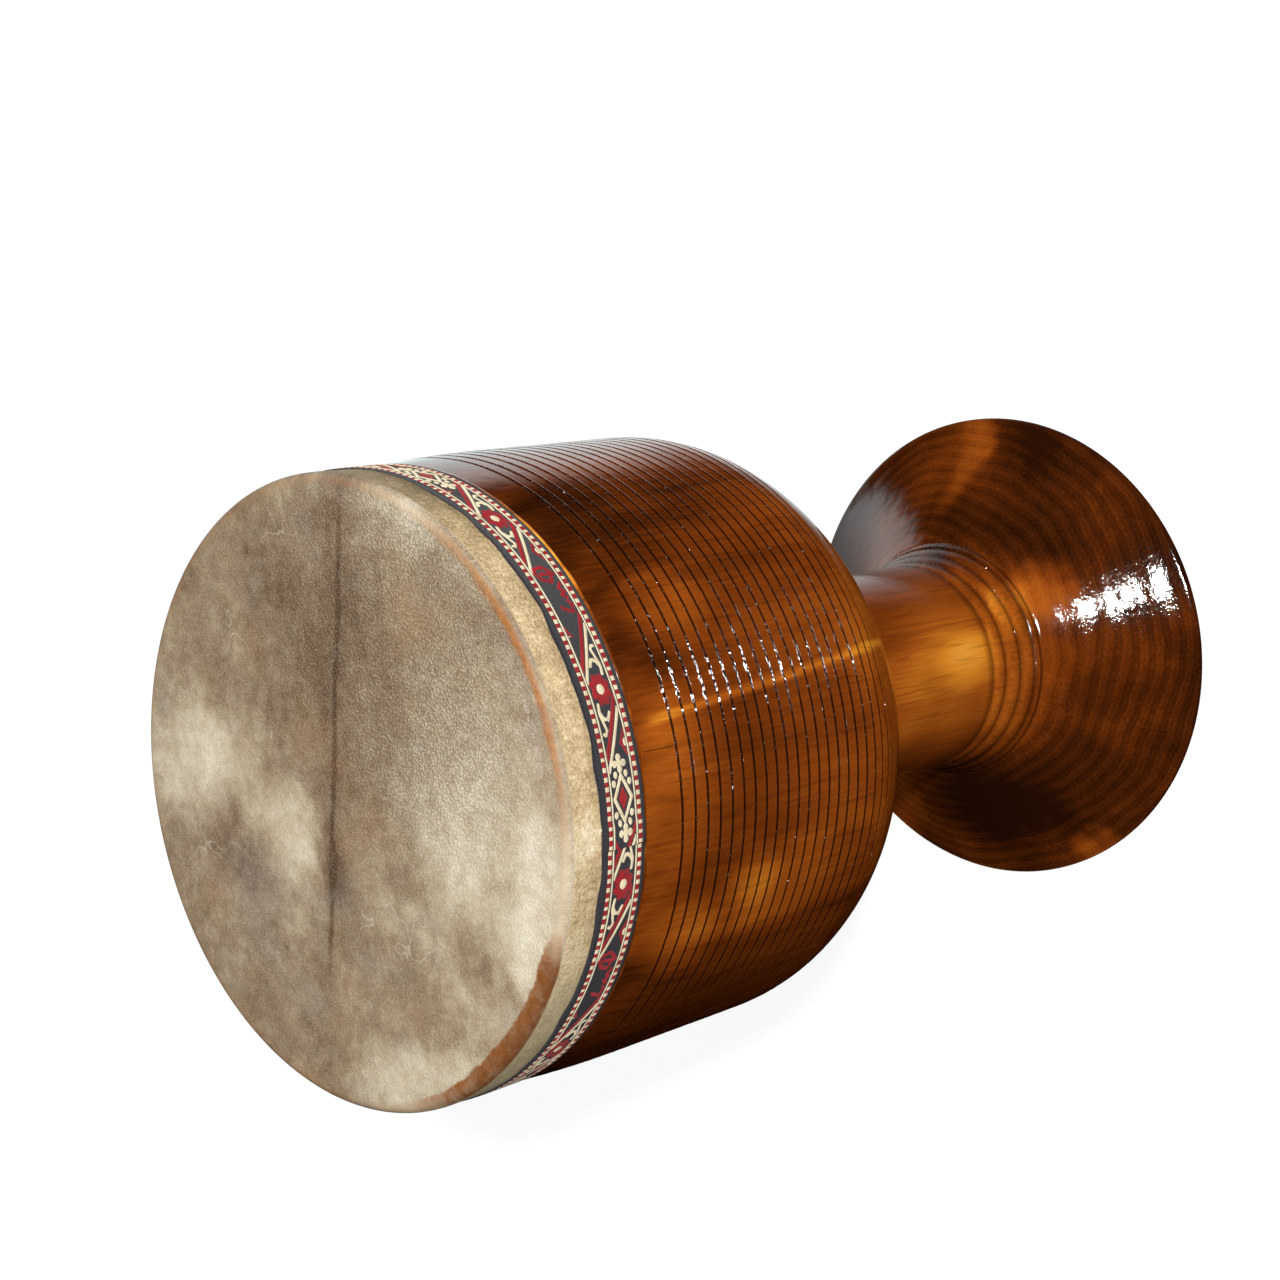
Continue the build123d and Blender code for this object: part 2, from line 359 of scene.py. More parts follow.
def goat_skin():
    """Goat hide: a mottled tan and cream head with the dark line of the spine, and a cream fuzzy lap."""
    p = Paint("goat_skin")
    radius = p.distance(p.x, p.y)
    phi = p.turned()
    depth = p.math("SUBTRACT", HEIGHT, p.z)
    warp = p.shifted(p.scaled(p.noises(p.place, 22.0, 4.0), (0.034, 0.034, 0.0)),
                     p.scaled(p.noises(p.place, 90.0, 3.0), (0.010, 0.010, 0.0)))
    wx, wy, _ = p.split(warp)
    u, v = p.add(p.x, wx), p.add(p.y, wy)
    cloud = p.noise(p.place, 38.0, 5.0, 0.62)
    mottle = p.noise(p.place, 150.0, 5.0, 0.74)
    light = p.add(0.38, p.times(p.add(cloud, -0.5), 0.60), p.times(p.add(mottle, -0.5), 0.66))
    marks = (
        # x, y, half sizes in x and y, in millimetres, gain
        (14, 104, 26, 34, 0.36),
        (14, 66, 18, 26, 0.24),
        (-16, 34, 18, 20, 0.38),
        (-42, 30, 20, 16, 0.14),
        (-20, -88, 70, 40, 0.34),
        (0, -55, 34, 28, 0.10),
        (60, -70, 34, 34, 0.06),
        (92, -66, 26, 34, 0.16),
        (-114, -40, 14, 50, 0.36),
        (-40, -30, 22, 24, 0.10),
        (110, -46, 16, 30, 0.24),
        (70, 26, 44, 20, -0.10),
        (-30, -42, 14, 14, -0.18),
        (-52, -72, 12, 14, -0.26),
        (-66, -84, 12, 16, -0.20),
        (-24, 62, 14, 20, -0.12),
        (-28, 12, 14, 9, -0.24),
        (-40, -112, 34, 14, 0.22),
    )
    for x, y, half_x, half_y, gain in marks:
        mark = p.spot(u, v, (x * MM, y * MM), (half_x * MM, half_y * MM), 0.55)
        light = p.add(light, p.times(mark, gain))
    spine = p.add(p.y, p.times(p.x, 0.184), -0.0032)
    spine_line = p.times(p.bell(p.add(spine, p.times(wx, 0.12)), 0.0, 0.0026), p.step(p.x, -0.080, -0.05),
                         p.step(p.x, 0.104, 0.122, 1.0, 0.0))
    spine_band = p.times(p.bell(p.add(spine, p.times(wx, 0.5)), 0.0, 0.020),
                         p.step(p.x, -0.050, 0.060, 0.2, 1.0))
    knot = p.spot(p.add(p.x, p.times(wy, 0.4)), spine, (-0.029, 0.0), (0.008, 0.0030), 0.7)
    pale_rim = p.times(p.bell(radius, 0.1222, 0.0044), p.bell(phi, 26.0, 44.0))
    light = p.add(light, p.times(spine_line, -0.30), p.times(spine_band, -0.15), p.times(knot, -0.20),
                  p.times(pale_rim, 0.16))
    colour = p.ramp(p.math("ADD", light, 0.0, clamp=True), [
        (0.0, linear(80, 58, 40)), (0.22, linear(119, 98, 75)), (0.42, linear(148, 129, 105)),
        (0.62, linear(178, 163, 138)), (0.82, linear(203, 192, 168)), (1.0, linear(224, 216, 196))])

    # warm and bluish tints, freckles, and the fine pale scratches of a scraped hide
    warm = p.step(p.noise(p.shifted(p.place, (0.7, 0.2, 0.1)), 30.0, 3.0), 0.50, 0.72)
    colour = p.mix(p.times(warm, 0.16), colour, linear(166, 122, 76))
    cool = p.add(p.times(p.spot(u, v, (-0.040, 0.060), (0.016, 0.018), 0.8), 0.24),
                 p.times(p.step(p.noise(p.shifted(p.place, (0.3, 0.9, 0.5)), 45.0, 3.0), 0.54, 0.74), 0.22))
    colour = p.mix(cool, colour, linear(150, 143, 140))
    bent = p.shifted(p.place, p.scaled(warp, (0.5, 0.5, 0.0)))
    scratch = p.math("ABSOLUTE", p.add(p.noise(bent, 34.0, 2.0), -0.5))
    veins = p.times(p.step(scratch, 0.0, 0.006, 1.0, 0.0), p.step(p.noise(p.place, 26.0, 2.0), 0.52, 0.62))
    colour = p.mix(p.times(veins, 0.38), colour, linear(216, 208, 190))
    freckle = p.cells(p.place, 46.0)
    freckle_size = p.split(freckle.outputs["Color"])[0]
    freckles = p.times(p.step(freckle.outputs["Distance"], 0.03, 0.06, 1.0, 0.0),
                       p.step(freckle_size, 0.80, 0.85))
    colour = p.mix(p.times(freckles, 0.7), colour, linear(98, 58, 36))

    # the lap: cream and fuzzy, streaked where hair was scraped off, palest near the ribbon's seam, with
    # painted shade on its lower part above the ribbon
    side = p.step(depth, 0.0022, 0.0042)
    streaks = p.noise(p.scaled(p.place, (1.0, 1.0, 0.22)), 590.0, 5.0, 0.7)
    fuzz = p.noise(p.place, 700.0, 3.0, 0.75)
    crease = p.noise(p.scaled(p.place, (0.4, 0.4, 1.0)), 260.0, 3.0, 0.6)
    lap_cloud = p.noise(p.shifted(p.place, (0.2, 0.6, 0.1)), 64.0, 3.0, 0.6)
    lap_light = p.add(p.times(streaks, 0.60), p.times(fuzz, 1.05), -0.34,
                      p.times(p.bell(phi, 95.0, 8.0), 0.24), p.times(p.bell(phi, 116.0, 8.0), 0.16),
                      p.step(phi, 20.0, 46.0, -0.34, 0.0), p.times(p.step(depth, 0.011, 0.016), -0.10),
                      p.times(p.add(lap_cloud, -0.5), 0.55), p.times(p.add(crease, -0.5), 0.45))
    lap = p.ramp(p.math("ADD", lap_light, 0.0, clamp=True), [
        (0.0, linear(124, 106, 76)), (0.35, linear(174, 151, 114)), (0.60, linear(211, 188, 147)),
        (1.0, linear(248, 238, 212))])
    grey_lap = p.times(p.step(phi, 117.0, 124.0), p.step(phi, 190.0, 230.0, 1.0, 0.0))
    lap = p.mix(p.times(grey_lap, 0.40), lap, linear(190, 178, 142))
    colour = p.mix(side, colour, lap)

    # the brown line round the corner, where the hide was creased wet: thin, and thick over one stretch
    wander = p.add(p.times(p.noise(p.place, 60.0, 3.0), 0.0052), -0.0026)
    inward = p.math("SUBTRACT", SKIN_RADIUS, p.add(radius, wander))
    thick = p.times(p.step(phi, 109.0, 119.0), p.step(phi, 150.0, 176.0, 1.0, 0.0))
    frayed = p.times(p.add(streaks, -0.5), p.add(0.005, p.times(thick, -0.003)))
    band = p.times(p.step(p.add(inward, frayed), p.add(0.0032, p.times(thick, 0.0032)),
                          p.add(0.0054, p.times(thick, 0.0026)), 1.0, 0.0),
                   p.step(p.add(depth, p.times(thick, -0.0022)), 0.0004, 0.0018, 1.0, 0.0))
    band_shade = p.add(p.noise(p.place, 380.0, 4.0, 0.7),
                       p.times(p.step(inward, 0.002, 0.010), 0.25), -0.12)
    band_shade = p.add(band_shade, p.times(thick, -0.32),
                       p.times(p.step(inward, 0.001, 0.005), p.times(thick, 0.20)), 0.12)
    brown = p.ramp(band_shade, [
        (0.0, linear(92, 54, 24)), (0.5, linear(154, 94, 38)), (1.0, linear(192, 136, 70))])
    brown = p.mix(p.times(thick, 0.60), brown, linear(112, 66, 32))
    share = p.add(0.16, p.times(p.bell(phi, 62.0, 42.0), 0.66), p.times(thick, 0.80),
                  p.times(p.add(mottle, -0.5), 1.2))
    colour = p.mix(p.times(band, p.math("ADD", share, 0.0, clamp=True)), colour, brown)
    # painted highlights: pale broken glints along the inner edge of the brown line, round phi 74 where the
    # key light catches it
    painted_glints = p.times(p.bell(radius, 0.1194, 0.0026), p.step(p.noise(p.place, 260.0, 2.0), 0.50, 0.60),
                     p.bell(phi, 74.0, 24.0))
    colour = p.mix(p.times(painted_glints, 0.50), colour, linear(214, 194, 190))

    # pebbled grain, pores and the finest speckle
    shaken = p.shifted(p.place, p.scaled(p.noises(p.place, 500.0, 2.0), (0.0015, 0.0015, 0.0015)))
    pebbles = p.cells(shaken, 820.0)
    pebble = p.step(pebbles.outputs["Distance"], 0.10, 0.75, 1.0, 0.0)
    pebbled = p.add(0.30, p.times(p.spot(p.x, p.y, (0.060, -0.045), (0.075, 0.070), 0.5), 0.70))
    top_only = p.math("SUBTRACT", 1.0, p.math("MAXIMUM", side, band))
    hollows = p.times(p.math("SUBTRACT", 1.0, pebble), pebbled, top_only)
    colour = p.mix(p.times(hollows, 0.52), colour, linear(88, 64, 42))
    speckle = p.noise(p.shifted(p.place, (0.5, 0.1, 0.9)), 1500.0, 2.0, 0.8)
    colour = p.mix(p.times(p.step(speckle, 0.50, 0.74), top_only, 0.26), colour, linear(236, 228, 208))
    colour = p.mix(p.times(p.step(speckle, 0.26, 0.48, 1.0, 0.0), top_only, 0.24), colour, linear(82, 60, 42))
    tan_patch = p.spot(u, v, (0.074, -0.060), (0.014, 0.016), 0.8)
    colour = p.mix(p.times(tan_patch, 0.30), colour, linear(150, 112, 66))
    grain = p.add(p.times(pebble, pebbled), p.times(mottle, 0.5), p.times(fuzz, side, 1.2),
                  p.times(speckle, 0.25))
    normal = p.bump(grain, 0.00028)
    return p.finish(Base_Color=colour, Roughness=0.62, Normal=normal, Specular_IOR_Level=0.32,
                    Subsurface_Weight=0.06, Subsurface_Radius=(0.004, 0.002, 0.001))


def ribbon_ground():
    """The ribbon's black ground: a tight warp-faced weave with a faint blue sheen."""
    p = Paint("ribbon_ground")
    phi = p.math("ARCTAN2", p.times(p.y, -1.0), p.x)
    along = p.times(phi, SKIN_RADIUS)
    warp = p.math("SINE", p.times(p.z, 2 * pi / 0.00042))
    weft = p.math("SINE", p.times(along, 2 * pi / 0.00045))
    cross = p.times(warp, weft)
    speck = p.noise(p.place, 1400.0, 2.0, 0.6)
    shade = p.add(0.35, p.times(cross, 0.25), p.times(p.add(speck, -0.5), 0.6))
    colour = p.ramp(p.math("ADD", shade, 0.0, clamp=True),
                    [(0.0, linear(10, 9, 13)), (1.0, linear(58, 56, 70))])
    normal = p.bump(p.add(cross, p.times(speck, 0.6)), 0.00008)
    return p.finish(Base_Color=colour, Roughness=0.70, Normal=normal, Sheen_Weight=0.15,
                    Specular_IOR_Level=0.3)


def yarn(name, dark, middle, pale):
    """A pattern yarn: fine twisted filaments that vary a little from one float to the next."""
    p = Paint(name)
    speck = p.noise(p.place, 2600.0, 2.0, 0.6)
    drift = p.noise(p.place, 140.0, 3.0, 0.6)
    shade = p.add(p.times(speck, 0.7), p.times(drift, 0.8), -0.25)
    colour = p.ramp(p.math("ADD", shade, 0.0, clamp=True), [(0.0, dark), (0.5, middle), (1.0, pale)])
    normal = p.bump(speck, 0.00006)
    return p.finish(Base_Color=colour, Roughness=0.58, Normal=normal, Sheen_Weight=0.12,
                    Specular_IOR_Level=0.35)


def amber_glue():
    """Dried hide glue under lacquer, uneven in thickness and so in colour. Round phi 44, where the bead is
    thickest, it is painted brightest, partly as a painted highlight.
    """
    p = Paint("amber_glue")
    lumps = p.noise(p.place, 120.0, 3.0, 0.6)
    phi = p.turned()
    # brighter round phi 44: thicker glue, and partly a painted highlight
    richness_and_highlight = p.add(lumps, p.times(p.bell(phi, 44.0, 24.0), 0.45), -0.15)
    colour = p.ramp(p.math("ADD", richness_and_highlight, 0.0, clamp=True), [
        (0.0, linear(52, 22, 8)), (0.45, linear(120, 58, 14)), (0.72, linear(196, 112, 28)),
        (1.0, linear(246, 176, 72))])
    normal = p.bump(lumps, 0.0006)
    return p.finish(Base_Color=colour, Roughness=0.22, Normal=normal, Coat_Weight=0.6, Coat_Roughness=0.08)


# ---------------------------------------------------------------- shell
WALL = 10.8
SKIN_THICK = 0.7
GLUE_THICK = 0.4
SKIN_CORNER = 3.7
MOUTH_ROUNDING = 2.0
RIBBON_BOTTOM = (HEIGHT - RIBBON_LOW) / MM
LAP_DEPTH = SKIN_LAP_END / MM
SKIN_R = SKIN_RADIUS / MM
BELLY_R = 131.8
BELLY_DEPTH = 95.0
SHOULDER_DEPTH = 172.0
SHOULDER_R = 69.0
THROAT_WAIST = 51.9
THROAT_R = 52.4
THROAT_FILLET = 27.6
THROAT_END = 379.5
# the shoulder's arc and the throat's fillet meet after this turn, whose cosine is SHOULDER_COS
SHOULDER_COS = (THROAT_WAIST + THROAT_FILLET - BELLY_R + SHOULDER_R) / (SHOULDER_R + THROAT_FILLET)
SHOULDER_SIN = sqrt(1 - SHOULDER_COS**2)
SHOULDER_TURN = asin(SHOULDER_SIN)
RING_DEPTHS = (380.2, 389.2, 398.7, 407.0, 411.0)
RING_SWELL = 8.2
RING_CROWN = 0.6
RING_VALLEY = 0.7
BELL_R = 123.4
BELL_MIDDLE = (89.6, 435.2)
BELL_EDGE = 3.9                   # height of the upright rim
RIM_ROUNDING = 1.2
BELL_MOUTH_R = 112.5
BORE_FLARE = 40.0
BELL_SLOPE = 1.25
SIDE_GROOVES = [60.0 + 7.15 * n - 0.029 * n**2 for n in range(21)]
SHOULDER_GROOVES = [217.6, 224.0]
GROOVE = 0.8                      # depth of a groove, and half its width


def bowl_line():
    """The bowl's outside as points of radius, depth and lean, close together at its grooves.

    With them come how deep each point lies in a groove, and how near it is to a groove's lip."""
    swell = ((BELLY_DEPTH - RIBBON_BOTTOM) ** 2 + (BELLY_R - SKIN_R) ** 2) / (2 * (BELLY_R - SKIN_R))
    last = SHOULDER_DEPTH + SHOULDER_R * SHOULDER_TURN
    grooves = SIDE_GROOVES + [SHOULDER_DEPTH + SHOULDER_R * asin((d - SHOULDER_DEPTH) / SHOULDER_R)
                              for d in SHOULDER_GROOVES]
    half = [0.1, 0.25, 0.5, 0.72, 0.86, 1.0, 1.15, 1.5]
    near = np.array([-a for a in half[::-1]] + [0] + half)
    run = np.concatenate([np.arange(RIBBON_BOTTOM, last, 1.8), [last]] + [g + near * GROOVE for g in grooves])
    run = np.unique(np.round(run, 3))
    cut = np.zeros_like(run)
    lip = np.zeros_like(run)
    for g in grooves:
        away = np.abs(run - g) / GROOVE
        cut = np.maximum(cut, np.clip(1.02 - away, 0, 1))
        lip += np.exp(-((away - 1.05) / 0.22) ** 2)
    points = []
    for s in run:
        if s < BELLY_DEPTH:
            points.append((BELLY_R - swell + sqrt(swell**2 - (BELLY_DEPTH - s) ** 2), s, 0.0))
        elif s < SHOULDER_DEPTH:
            points.append((BELLY_R, s, 0.0))
        else:
            a = (s - SHOULDER_DEPTH) / SHOULDER_R
            radius = BELLY_R - SHOULDER_R + SHOULDER_R * cos(a)
            points.append((radius, SHOULDER_DEPTH + SHOULDER_R * sin(a), a))
    return np.array(points), cut, lip


def make_shell(material):
    """The turned shell, with softened groove lips and the small wanderings of a hand-held tool."""
    line, cut, lip = bowl_line()
    seat_r, seat_corner = SKIN_R - SKIN_THICK - GLUE_THICK, SKIN_CORNER - SKIN_THICK - GLUE_THICK
    top = arc((seat_r - seat_corner, SKIN_THICK + seat_corner), seat_corner, -90, 0, 6)
    top += [(seat_r, LAP_DEPTH), (SKIN_R - 0.1, LAP_DEPTH + 0.1), (SKIN_R - 0.05, RIBBON_BOTTOM - 1.0)]

    fillet_depth = SHOULDER_DEPTH + (SHOULDER_R + THROAT_FILLET) * SHOULDER_SIN
    turn = np.degrees(SHOULDER_TURN)
    low = arc((THROAT_WAIST + THROAT_FILLET, fillet_depth), THROAT_FILLET, 180 + turn, 180, 28)[1:]
    low += [(THROAT_WAIST + (THROAT_R - THROAT_WAIST) * t, fillet_depth + (THROAT_END - fillet_depth) * t)
            for t in np.linspace(0, 1, 24)][1:]

    def ring_line(depth):
        t = (depth - RING_DEPTHS[0]) / (RING_DEPTHS[-1] - RING_DEPTHS[0])
        return THROAT_R + RING_SWELL * max(t, 0) ** 1.5

    rings_start = len(low)
    for upper, lower in zip(RING_DEPTHS, RING_DEPTHS[1:]):
        middle = (upper + lower) / 2
        start = (ring_line(upper) - RING_VALLEY, upper)
        end = (ring_line(lower) - RING_VALLEY, lower)
        low += through(start, (ring_line(middle) + RING_CROWN, middle), end, 14)[:-1]
    low += [(ring_line(RING_DEPTHS[-1]) - RING_VALLEY, RING_DEPTHS[-1])]
    valley = np.array([max(0.0, 1 - min(abs(d - v) for v in RING_DEPTHS) / 2.2) ** 1.5 for _, d in low])
    valley[:rings_start - 3] = 0
    flare_top = (ring_line(RING_DEPTHS[-1]) + RING_CROWN, RING_DEPTHS[-1] + RING_VALLEY)
    edge_depth = HEIGHT_MM - BELL_EDGE
    flare_end = (BELL_R - 0.6, edge_depth)
    low += through(flare_top, BELL_MIDDLE, flare_end, 60)
    low += through(flare_end, (BELL_R - 0.16, edge_depth + 0.5), (BELL_R, edge_depth + 1.2), 4)[1:]
    low += arc((BELL_R - RIM_ROUNDING, HEIGHT_MM - RIM_ROUNDING), RIM_ROUNDING, 0, 90, 6)

    inside = [(BELL_MOUTH_R + 1.0, HEIGHT_MM), (BELL_MOUTH_R, HEIGHT_MM - 0.6)]
    bore = THROAT_WAIST - WALL
    knee = HEIGHT_MM - (BELL_MOUTH_R - bore) / BELL_SLOPE
    half = atan(BELL_SLOPE) / 2
    tangent = BORE_FLARE * tan(half)
    inside += [(BELL_MOUTH_R - BELL_SLOPE * t, HEIGHT_MM - t) for t in np.linspace(2.4, 40.0, 14)]
    inside += arc((bore + BORE_FLARE, knee - tangent), BORE_FLARE, 180 - 2 * np.degrees(half), 180, 14)
    inside += [(bore, d) for d in np.linspace(knee - tangent, fillet_depth, 12)][1:]
    outer = THROAT_FILLET + WALL
    inside += arc((THROAT_WAIST + THROAT_FILLET, fillet_depth), outer, 180, 180 + turn, 18)[1:]
    inner = SHOULDER_R - WALL
    inside += arc((BELLY_R - SHOULDER_R, SHOULDER_DEPTH), inner, turn, 0, 26)[1:]
    mouth_depth = SKIN_THICK + MOUTH_ROUNDING
    inside += [(BELLY_R - WALL, d) for d in np.linspace(SHOULDER_DEPTH, mouth_depth, 24)][1:]
    inside += arc((BELLY_R - WALL + MOUTH_ROUNDING, mouth_depth), MOUTH_ROUNDING, 180, 270, 5)[1:]

    outside_count = len(top) + len(line) + len(low)
    section = np.concatenate([np.array(top), line[:, :2], np.array(low + inside)])
    radii, depths = section[:, 0], section[:, 1]
    beyond = (len(top), len(low) + len(inside))
    lean, cuts, lips = (np.pad(values, beyond) for values in (line[:, 2], cut, lip))

    turns = 480
    random = np.random.default_rng(5)
    phi = np.arange(turns) * 2 * pi / turns
    # each groove's depth and each lip's height wander a little round the bowl
    slow = np.zeros((turns, len(radii)))
    fast = np.zeros_like(slow)
    group = np.cumsum(np.append(0, np.diff(cuts > 0).clip(0)))
    for g in range(int(group.max()) + 1):
        here = group == g
        for waves, size in ((2, 0.5), (3, 0.4), (5, 0.35), (9, 0.25), (17, 0.2)):
            slow[:, here] += size * np.sin(waves * phi + random.uniform(0, 2 * pi))[:, None]
        rough = random.normal(size=turns)
        fast[:, here] += rough[:, None]
    out = -cuts * GROOVE * (1 + 0.10 * slow) + lips * (0.035 + 0.02 * slow + 0.030 * fast)
    points_r = radii + out * np.cos(lean)
    points_d = depths + out * np.sin(lean)
    count = len(radii)
    verts = round_points(points_r, points_d, phi)
    shell = new_object("shell_turned", verts, round_faces(turns, count), material)
    # how dark the grooves and the ring valleys are painted
    groove_darkening = np.clip(cuts * 4.0 - 0.1, 0, 1)
    groove_darkening[len(top) + len(line):][:len(valley)] = 0.75 * valley
    for name, values in (("groove", groove_darkening),
                         ("lip", np.clip(lips, 0, 1)),
                         ("inside", (np.arange(count) >= outside_count).astype(float))):
        layer = shell.data.attributes.new(name, "FLOAT", "POINT")
        layer.data.foreach_set("value", np.tile(values, turns).astype(np.float32))
    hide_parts("shell")


# ---------------------------------------------------------------- skin
def make_skin(material):
    """The hide: nearly flat over the mouth, round over its edge, and a little lumpy down the lap."""
    thick, corner = SKIN_THICK, SKIN_CORNER
    top = [(r, 0.0) for r in np.linspace(1.5, SKIN_R - corner, 64)]
    top += arc((SKIN_R - corner, corner), corner, -90, 0, 9)[1:]
    top += [(SKIN_R, d) for d in np.linspace(corner, LAP_DEPTH, 26)][1:]
    under = [(SKIN_R - thick, d) for d in np.linspace(LAP_DEPTH, corner, 12)]
    under += arc((SKIN_R - corner, corner), corner - thick, 0, -90, 5)[1:]
    under += [(r, thick) for r in np.linspace(SKIN_R - corner, 2.0, 12)][1:]
    radii = np.array([r for r, _ in top + under])
    depths = np.array([d for _, d in top + under])
    turns = 288
    phi = np.arange(turns) * 2 * pi / turns
    lumps = np.zeros((turns, len(radii)))
    random = np.random.default_rng(11)
    for waves, size in ((7, 0.05), (13, 0.06), (23, 0.05), (41, 0.04)):
        start = random.uniform(0, 6)
        slant = random.uniform(-0.3, 0.3)
        lumps += size * np.sin(waves * phi[:, None] + start + depths[None, :] * slant)
    side = np.clip((depths - 2.0) / 6.0, 0, 1) * (radii > SKIN_R - 0.1)
    spread = radii + lumps * side
    verts = round_points(spread, depths, phi)
    count = len(radii)
    faces = [tuple(f) for f in round_faces(turns, count, closed=False)]
    faces.append(tuple(np.arange(turns)[::-1] * count))
    faces.append(tuple(np.arange(turns) * count + count - 1))
    skin = new_object("skin_head", verts, faces, material)
    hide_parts("skin")
    return skin


# ---------------------------------------------------------------- ribbon
RIBBON_WIDTH = (RIBBON_HIGH - RIBBON_LOW) / MM
RIBBON_INNER = SKIN_R + 0.02
RIBBON_THICK = 0.42
SELVAGE = 1.2                     # how far its wavy edge towards the head stands out
SEAM = 98.0                       # phi of the end that laps over the start
LAP = 8.0
AROUND = 2 * pi * (RIBBON_INNER + RIBBON_THICK)
FLOWER = 14.5                     # from the seam to the first flower
HALF_PERIOD = 82.4
RED, CREAM = 1, 2


def on_ribbon(along, across, lift):
    """The point of the ribbon at a distance round from its seam, at a distance up from its middle.

    lift is how far it stands off the ribbon's back. The last stretch rides up over the start, and the
    edges wander as a hand-laid ribbon's do."""
    angle = np.radians(SEAM) + along / (RIBBON_INNER + RIBBON_THICK)
    over = np.clip((along - (AROUND - LAP - 3.0)) / 3.0, 0, 1)
    over = over * over * (3 - 2 * over)
    radius = RIBBON_INNER + lift + over * (RIBBON_THICK + 0.06)
    head_side = np.clip((across - 9.2) / 1.8, 0, 1)
    wander = 0.22 * np.sin(angle * 6 + 0.7) + 0.20 * np.sin(angle * 11 + 2.0) + 0.10 * np.sin(angle * 23)
    edge = SELVAGE + 0.40 * np.sin(angle * 17 + 1.0)
    edge += 0.28 * np.sin(angle * 31) + 0.16 * np.sin(angle * 47 + 2.2)
    level = across + 0.55 * wander + edge * head_side
    middle = (RIBBON_HIGH + RIBBON_LOW) / 2 / MM
    return np.stack([radius * np.cos(angle), -radius * np.sin(angle), middle + level], axis=-1) * MM


def near_line(x, y, points, thickness):
    """Is each place within half a thickness of a bent line?"""
    best = np.full(x.shape, 1e9)
    for (ax, ay), (bx, by) in zip(points, points[1:]):
        dx, dy = bx - ax, by - ay
        t = np.clip(((x - ax) * dx + (y - ay) * dy) / (dx * dx + dy * dy), 0, 1)
        best = np.minimum(best, np.hypot(x - ax - t * dx, y - ay - t * dy))
    return best < thickness / 2


def in_round(x, y, cx, cy, half_x, half_y):
    return ((x - cx) / half_x) ** 2 + ((y - cy) / half_y) ** 2 < 1


def in_diamond(x, y, cx, cy, half_x, half_y):
    return np.abs(x - cx) / half_x + np.abs(y - cy) / half_y < 1


FIELD_TOP, FIELD_BOTTOM = 5.25, -5.7      # from the ribbon's middle: towards the head, towards the bowl
BAR = 16.85                               # from a flower to the slanting bars beside it


